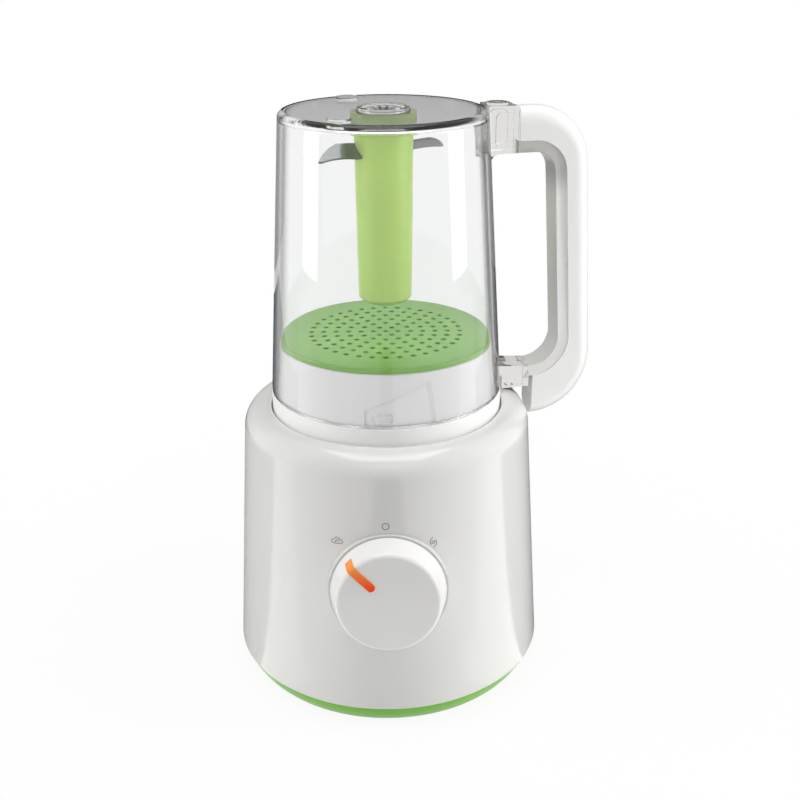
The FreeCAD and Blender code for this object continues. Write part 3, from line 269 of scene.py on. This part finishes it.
def smokyLiner():
    finish = newFinish("smokyLiner")
    cloud = finish.noise(linerLook["cloudScale"], linerLook["cloudDetail"])
    high = finish.ramp(finish.part(finish.spots(), "Z"), linerLook["paintedShadeFrom"], linerLook["paintedShadeTo"])
    pale = finish.tint(cloud, linerLook["dark"], linerLook["light"])
    return finish.close(finish.plastic({
        # painted shade on the top of the liner
        "Base Color": finish.blend(high, pale, (*linerLook["paintedShade"], 1)),
        "Roughness": linerLook["rough"] + cloud.around(linerLook["cloudRough"]), "IOR": linerLook["index"],
        "Transmission Weight": linerLook["through"], "Normal": finish.softEdge(linerLook["softEdge"]),
        "Emission Color": (*linerLook["light"], 1), "Emission Strength": linerLook["glow"],
    }))


# painted light: the pointer glows faintly in its tail colour
pointerLook = {
    "tip": (0.97, 0.36, 0.08), "tail": (1.0, 0.06, 0.003), "tipAt": 0.104, "tailAt": 0.0885,
    "grainScale": 900.0, "grainDetail": 2.0, "grainRough": 0.1, "rough": 0.32, "glow": 0.07,
    "specular": 0.2, "index": 1.47, "softEdge": 0.0005,
}


def pointerPlastic():
    finish = newFinish("orangePointer")
    grain = finish.noise(pointerLook["grainScale"], pointerLook["grainDetail"])
    rise = finish.ramp(finish.part(finish.spots(), "Z"), pointerLook["tailAt"], pointerLook["tipAt"])
    return finish.close(finish.plastic({
        "Base Color": finish.tint(rise, pointerLook["tail"], pointerLook["tip"]),
        "Roughness": pointerLook["rough"] + grain.around(pointerLook["grainRough"]),
        "IOR": pointerLook["index"], "Specular IOR Level": pointerLook["specular"],
        "Normal": finish.softEdge(pointerLook["softEdge"]),
        # painted light: a faint glow
        "Emission Color": (*pointerLook["tail"], 1), "Emission Strength": pointerLook["glow"],
    }))


# metals with fine streaks round them
metalLook = {
    "bladeSteel": {"dark": (0.13, 0.132, 0.135), "light": (0.21, 0.213, 0.217), "rough": 0.2},
    "brightSteel": {"dark": (0.5, 0.51, 0.52), "light": (0.62, 0.63, 0.64), "rough": 0.24},
    "boilerMetal": {"dark": (0.6, 0.61, 0.62), "light": (0.7, 0.7, 0.71), "rough": 0.35},
    "laminatedIron": {"dark": (0.1, 0.095, 0.09), "light": (0.16, 0.15, 0.145), "rough": 0.5},
    "sinteredBronze": {"dark": (0.42, 0.25, 0.1), "light": (0.5, 0.31, 0.13), "rough": 0.42},
}
metalSkin = {
    "stretch": (40.0, 40.0, 900.0), "detail": 3.0, "rough": 0.16, "relief": 0.1, "reliefDepth": 0.00002,
}


def bareMetal(name):
    look = metalLook[name]
    finish = newFinish(name)
    streaks = finish.node("ShaderNodeMapping", {}, {"Vector": finish.spots(), "Scale": metalSkin["stretch"]})
    brush = finish.node("ShaderNodeTexNoise", {},
                        {"Vector": streaks, "Scale": 1.0, "Detail": metalSkin["detail"]})
    return finish.close(finish.plastic({
        "Base Color": finish.tint(brush, look["dark"], look["light"]), "Metallic": 1.0,
        "Roughness": look["rough"] + brush.around(metalSkin["rough"]),
        "Normal": finish.bump(brush, metalSkin["relief"], metalSkin["reliefDepth"]),
    }))


rubberLook = {
    "darkRubber": {"dark": (0.02, 0.02, 0.021), "light": (0.035, 0.035, 0.036), "rough": 0.75},
    "paleRubber": {"dark": (0.66, 0.66, 0.65), "light": (0.72, 0.72, 0.71), "rough": 0.6},
    "silicone": {"dark": (0.7, 0.72, 0.72), "light": (0.77, 0.79, 0.79), "rough": 0.5},
}
rubberSkin = {
    "dustScale": 120.0, "dustDetail": 4.0, "dustRough": 0.15,
    "grainScale": 3000.0, "grainDetail": 2.0, "relief": 0.25, "reliefDepth": 0.00003,
}


def softRubber(name):
    look = rubberLook[name]
    finish = newFinish(name)
    dust = finish.noise(rubberSkin["dustScale"], rubberSkin["dustDetail"])
    grain = finish.noise(rubberSkin["grainScale"], rubberSkin["grainDetail"])
    return finish.close(finish.plastic({
        "Base Color": finish.tint(dust, look["dark"], look["light"]),
        "Roughness": look["rough"] + dust.around(rubberSkin["dustRough"]),
        "Normal": finish.bump(grain, rubberSkin["relief"], rubberSkin["reliefDepth"]),
    }))


dressing = {
    "whiteShell": ["base_housing", "interlock_pin"],
    "whiteCover": ["handle_cover"],
    "whiteKnob": ["control_knob"],
    "whiteLid": ["lid", "tank_cap"],
    "greenPan": ["base_pan"],
    "greenStrainer": ["strainer"],
    "orangePointer": ["knob_pointer"],
    "greyMoulding": ["drive_coupling", "driven_coupling", "knob_spindle_rod", "relief_valve"],
    "blackMoulding": ["thermostat", "interlock_switch", "rotary_switch", "cooling_fan"],
    "limeColumn": ["blade_hub", "hub_cap"],
    "clearJar": ["jar"],
    "smokyLiner": ["handle_liner"],
    "bladeSteel": ["blades"],
    "brightSteel": ["blade_spindle", "housing_screws", "motor_bracket", "motor_screws", "motor_can",
                    "motor_shaft", "interlock_spring", "relief_spring"],
    "boilerMetal": ["boiler_tank", "heater_plate"],
    "laminatedIron": ["motor_stator", "motor_rotor"],
    "sinteredBronze": ["upper_bearing", "lower_bearing", "jar_bush"],
    "darkRubber": ["foot_ring", "motor_bushes"],
    "paleRubber": ["cord_gland"],
    "silicone": ["recess_seal", "drive_seal", "filler_gasket", "cap_gasket", "jar_seal", "lid_gasket"],
}
finishes = {"limeColumn": limePlastic(), "clearJar": clearPlastic(), "smokyLiner": smokyLiner(),
            "orangePointer": pointerPlastic()}
for looks, maker in ((mouldedLook, mouldedPlastic), (metalLook, bareMetal), (rubberLook, softRubber)):
    finishes.update({name: maker(name) for name in looks})
for name, members in dressing.items():
    for member in members:
        for slot in nodes[member].material_slots:
            slot.material = finishes[name]
print("finishes:", len(finishes))

# printed signs round the dial: thin ribbons that follow the tapered wall
wall = {"low": 0.0836, "lowLevel": 0.012, "high": 0.0753, "highLevel": 0.1376, "lift": 0.00006}
milli = 0.001
arcSteps = 14
signs = {  # an arc is x, y, radius in millimetres, first and last angle, steps
    "steamSign": {
        "place": (-0.0253, 0.1055), "line": 0.00042,
        "loops": [[(-1.75, -0.55, 1.05, 270, 105, arcSteps), (0.0, 0.25, 1.4, 160, 25, arcSteps),
                   (1.8, -0.5, 1.1, 75, -90, arcSteps)]],
        "strokes": [[(0.2, -0.75, 0.95, 200, 20, arcSteps)]],
    },
    "offSign": {
        "place": (-0.0011, 0.1147), "line": 0.0005,
        "loops": [[(0.0, 0.0, 1.65, 0, 350, 35)]],
        "strokes": [],
    },
    "blendSign": {
        "place": (0.0224, 0.1043), "line": 0.00042,
        "loops": [[(0.0, 0.0, 0.7, 0, 345, 23)]],
        "strokes": [[(0.65, 0.5, 2.3, 225, 109, arcSteps)], [(-0.65, -0.5, 2.3, 45, -71, arcSteps)]],
    },
}


def onWall(across, level):
    share = (level - wall["lowLevel"]) / (wall["highLevel"] - wall["lowLevel"])
    radius = wall["low"] + (wall["high"] - wall["low"]) * share + wall["lift"]
    turn = across / radius
    return Vector((radius * math.sin(turn), -radius * math.cos(turn), level))


def pathOf(arcs):
    spots = []
    for x, y, radius, first, last, steps in arcs:
        for i in range(steps + 1):
            turn = math.radians(first + (last - first) * i / steps)
            spots.append(((x + radius * math.cos(turn)) * milli, (y + radius * math.sin(turn)) * milli))
    return spots


def ribbon(mesh, path, line, place, closed):
    rows = []
    count = len(path)
    for i, (x, y) in enumerate(path):
        before = path[i - 1] if closed or i else path[i]
        after = path[(i + 1) % count] if closed or i + 1 < count else path[i]
        along = Vector((after[0] - before[0], after[1] - before[1])).normalized()
        side = Vector((-along.y, along.x)) * line / 2
        edges = [onWall(place[0] + x + side.x * way, place[1] + y + side.y * way) for way in (-1, 1)]
        rows.append([mesh.verts.new(edge) for edge in edges])
    for i in range(count if closed else count - 1):
        a, b = rows[i], rows[(i + 1) % count]
        mesh.faces.new((a[0], b[0], b[1], a[1]))


for name, sign in signs.items():
    ink = bmesh.new()
    for closed, paths in ((True, sign["loops"]), (False, sign["strokes"])):
        for arcs in paths:
            ribbon(ink, pathOf(arcs), sign["line"], sign["place"], closed)
    bmesh.ops.recalc_face_normals(ink, faces=ink.faces)
    signMesh = bpy.data.meshes.new(name)
    ink.to_mesh(signMesh)
    ink.free()
    signMesh.materials.append(finishes["greyPrint"])
    signPiece = bpy.data.objects.new(name, signMesh)
    scene.collection.objects.link(signPiece)
    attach(signPiece, "base")
print("signs:", len(signs))

# camera solved from the photograph's ellipses
shot = {"place": (0.0, -0.55336, 0.38334), "pitch": 0.402, "yaw": 0.013, "roll": -0.006,
        "lens": 50.88, "sensor": 36.0, "nearest": 0.01}
cameraData = bpy.data.cameras.new("photoCamera")
cameraData.lens = shot["lens"]
cameraData.sensor_width = shot["sensor"]
cameraData.clip_start = shot["nearest"]
camera = bpy.data.objects.new("photoCamera", cameraData)
scene.collection.objects.link(camera)
level = Vector((math.sin(shot["yaw"]), math.cos(shot["yaw"]), 0))
right = Vector((math.cos(shot["yaw"]), -math.sin(shot["yaw"]), 0))
ahead = level * math.cos(shot["pitch"]) + Vector((0, 0, -1)) * math.sin(shot["pitch"])
above = right.cross(ahead)
tiltRight = right * math.cos(shot["roll"]) + above * math.sin(shot["roll"])
tiltUp = above * math.cos(shot["roll"]) - right * math.sin(shot["roll"])
turned = Matrix((tiltRight, tiltUp, -ahead)).transposed().to_4x4()
camera.matrix_world = Matrix.Translation(shot["place"]) @ turned
scene.camera = camera
scene.view_settings.view_transform = "Standard"
print("camera set")

# plain white surroundings
studio = {"floor": 6.0, "fill": 0.2, "floorColour": (0.93, 0.93, 0.93), "floorGlow": 0.92,
          "near": 0.13, "far": 0.36}


def rayMask(finish):
    seen, mirrored, through = [finish.node("ShaderNodeLightPath", out=f"Is {kind} Ray")
                               for kind in ("Camera", "Glossy", "Transmission")]
    return seen.most(mirrored.most(through))


def sheetOf(name, size, material, fan=1.0):
    mesh = bpy.data.meshes.new(name)
    sheet = bmesh.new()
    bmesh.ops.create_grid(sheet, x_segments=1, y_segments=1, size=0.5)  # a unit square
    nearEdge = [v for v in sheet.verts if v.co.x < 0]
    bmesh.ops.scale(sheet, vec=(1, fan, 1), verts=nearEdge)
    bmesh.ops.scale(sheet, vec=(size[0], size[1], 1), verts=sheet.verts)
    sheet.to_mesh(mesh)
    sheet.free()
    mesh.materials.append(material)
    made = bpy.data.objects.new(name, mesh)
    scene.collection.objects.link(made)
    return made


floorFinish = newFinish("paleFloor")
paint = floorFinish.node("ShaderNodeBsdfDiffuse", {}, {"Color": (*studio["floorColour"], 1)})
clean = floorFinish.ramp(floorFinish.length(floorFinish.spots()), studio["near"], studio["far"])
glowing = rayMask(floorFinish) * (studio["floorGlow"] + clean * (1 - studio["floorGlow"]))
floorMix = floorFinish.node("ShaderNodeMixShader", {}, {0: glowing, 1: paint, 2: floorFinish.emission(1.0)})
sheetOf("floor", (studio["floor"], studio["floor"]), floorFinish.close(floorMix))

sky = Finish(bpy.data.worlds.new("studio"))
fillLight, backdrop = [sky.node("ShaderNodeBackground", {}, {"Color": (1, 1, 1, 1), "Strength": strength})
                       for strength in (studio["fill"], 1.0)]
surround = sky.node("ShaderNodeMixShader", {}, {0: rayMask(sky), 1: fillLight, 2: backdrop})
scene.world = sky.close(surround, "ShaderNodeOutputWorld")

# cards that only show as reflections: standing ones behind, shades and bright strips on the floor
cards = {
    "leftCard": {"at": (-0.62, 0.75, 0.4), "size": (0.9, 1.0), "stand": 90, "fan": 1.0, "glow": 0.4},
    "rightCard": {"at": (0.62, 0.75, 0.4), "size": (0.9, 1.0), "stand": 90, "fan": 1.0, "glow": 0.2},
    "backCard": {"at": (0.0, 0.9, 0.56), "size": (0.7, 0.5), "stand": 90, "fan": 1.0, "glow": 0.04},
    "leftShade": {"at": (-0.34, 0.11, 0.0006), "size": (0.54, 0.38), "stand": 0, "fan": 1.0, "glow": 0.35},
    "leftFar": {"at": (-0.34, 0.48, 0.0006), "size": (0.54, 0.36), "stand": 0, "fan": 1.0, "glow": 0.04},
    "rightShade": {"at": (0.34, 0.11, 0.0006), "size": (0.54, 0.38), "stand": 0, "fan": 1.0, "glow": 0.1},
    "rightFar": {"at": (0.34, 0.58, 0.0006), "size": (0.54, 0.56), "stand": 0, "fan": 1.0, "glow": 0.03},
    "leftStrip": {"at": (-0.53, -0.065, 0.0009), "size": (-0.92, 0.3), "stand": 0, "fan": 0.17, "glow": 1.4},
    "rightStrip": {"at": (0.53, -0.068, 0.0009), "size": (0.92, 0.34), "stand": 0, "fan": 0.2, "glow": 1.5},
    "frontShade": {"at": (0.0, -0.62, 0.0006), "size": (0.15, 0.6), "stand": 0, "fan": 1.0, "glow": 0.05},
}
for name, card in cards.items():
    cardFinish = newFinish(name)
    made = sheetOf(name, card["size"], cardFinish.close(cardFinish.emission(card["glow"])), card["fan"])
    made.location = card["at"]
    made.rotation_euler = (math.radians(card["stand"]), 0, 0)
    made.visible_camera = False
    made.visible_diffuse = False
    made.visible_transmission = False
    made.visible_shadow = False

# soft boxes, the side ones without a reflection
softBoxes = {
    "topBox": {"place": (0.0, 0.0, 1.4), "aim": 0.15, "size": (1.0, 1.0), "power": 8.0, "shown": True},
    "frontBox": {"place": (0.0, -1.2, 1.4), "aim": 0.2, "size": (1.2, 0.8), "power": 2.1, "shown": True},
    "leftBox": {"place": (-1.0, -0.12, 0.5), "aim": 0.2, "size": (0.42, 1.1), "power": 5.6, "shown": False},
    "rightBox": {"place": (1.0, -0.12, 0.5), "aim": 0.2, "size": (0.42, 1.1), "power": 8.0, "shown": False},
}
for name, box in softBoxes.items():
    lampData = bpy.data.lights.new(name, "AREA")
    lampData.shape = "RECTANGLE"
    lampData.size, lampData.size_y = box["size"]
    lampData.energy = box["power"]
    lamp = bpy.data.objects.new(name, lampData)
    scene.collection.objects.link(lamp)
    lamp.location = box["place"]
    toward = Vector((0, 0, box["aim"])) - Vector(box["place"])
    lamp.rotation_euler = toward.to_track_quat("-Z", "Y").to_euler()
    lamp.visible_glossy = box["shown"]
print("studio lit")
